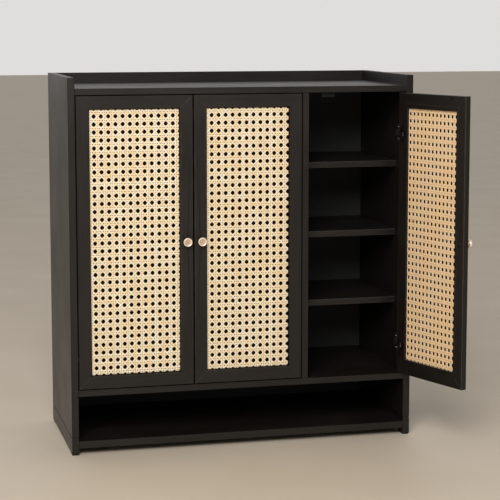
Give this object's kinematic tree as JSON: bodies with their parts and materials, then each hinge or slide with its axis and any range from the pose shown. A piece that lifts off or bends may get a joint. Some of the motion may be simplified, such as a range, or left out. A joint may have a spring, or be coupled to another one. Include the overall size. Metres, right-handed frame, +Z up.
{
  "type": "shoe cabinet",
  "caption": "Free-standing dark painted shoe cabinet with framed cane-webbing doors on concealed hinges, shelved bays, an open shoe shelf below and a low gallery rim on top.",
  "frame": {"origin": "on the floor, at the centre of the footprint of the whole cabinet with its right door standing open", "axes": "+Z up, the doors face -Y, +X to the right when facing the doors"},
  "size_m": [1.0916, 0.6952, 1.06],
  "materials": {
    "black_paint": "satin near-black paint over fine wood grain",
    "back_sheet": "matt black lacquered fibreboard",
    "cane": "natural woven cane",
    "brass": "satin champagne brass",
    "steel": "nickel plated",
    "beech": "raw beech",
    "black_plastic": "moulded matt black"
  },
  "bodies": {
    "carcass": {"side_left": "black_paint", "side_right": "black_paint", "skid_left": "black_paint", "skid_right": "black_paint", "foot_glides": "black_plastic", "top_panel": "black_paint", "gallery_back": "black_paint", "deck": "black_paint", "shoe_shelf": "black_paint", "partition": "black_paint", "back_sheet_left": "back_sheet", "back_sheet_right": "back_sheet", "back_sheet_low": "back_sheet", "shelf_left_low": "black_paint", "shelf_left_mid": "black_paint", "shelf_left_high": "black_paint", "shelf_right_low": "black_paint", "shelf_right_mid": "black_paint", "shelf_right_high": "black_paint", "shelf_pins": "steel", "dowels": "beech", "cam_locks": "steel", "cam_bolts": "steel", "back_nails": "steel", "magnet_catches": "black_plastic", "hinge_arms": "steel", "hinge_arm_screws": "steel"},
    "left_door": {"left_hinge_stile": "black_paint", "left_free_stile": "black_paint", "left_top_rail": "black_paint", "left_bottom_rail": "black_paint", "left_cane": "cane", "left_cane_beads": "black_paint", "left_knob": "brass", "left_knob_screw": "steel", "left_hinge_cups": "steel", "left_hinge_pins": "steel", "left_strike_plate": "steel"},
    "middle_door": {"middle_hinge_stile": "black_paint", "middle_free_stile": "black_paint", "middle_top_rail": "black_paint", "middle_bottom_rail": "black_paint", "middle_cane": "cane", "middle_cane_beads": "black_paint", "middle_knob": "brass", "middle_knob_screw": "steel", "middle_hinge_cups": "steel", "middle_hinge_pins": "steel", "middle_strike_plate": "steel"},
    "right_door": {"right_hinge_stile": "black_paint", "right_free_stile": "black_paint", "right_top_rail": "black_paint", "right_bottom_rail": "black_paint", "right_cane": "cane", "right_cane_beads": "black_paint", "right_knob": "brass", "right_knob_screw": "steel", "right_hinge_cups": "steel", "right_hinge_pins": "steel", "right_strike_plate": "steel"}
  },
  "joints": [
    {"name": "left_door_hinge", "type": "hinge", "parent": "carcass", "child": "left_door", "pos_m": [-0.51877, -0.07771, 0.599], "axis": [0, 0, -1], "range_deg": [0, 110]},
    {"name": "middle_door_hinge", "type": "hinge", "parent": "carcass", "child": "middle_door", "pos_m": [0.11723, -0.07771, 0.599], "axis": [0, 0, 1], "range_deg": [0, 110]},
    {"name": "right_door_hinge", "type": "hinge", "parent": "carcass", "child": "right_door", "pos_m": [0.42723, -0.07771, 0.599], "axis": [0, 0, 1], "range_deg": [-110, 0]}
  ]
}
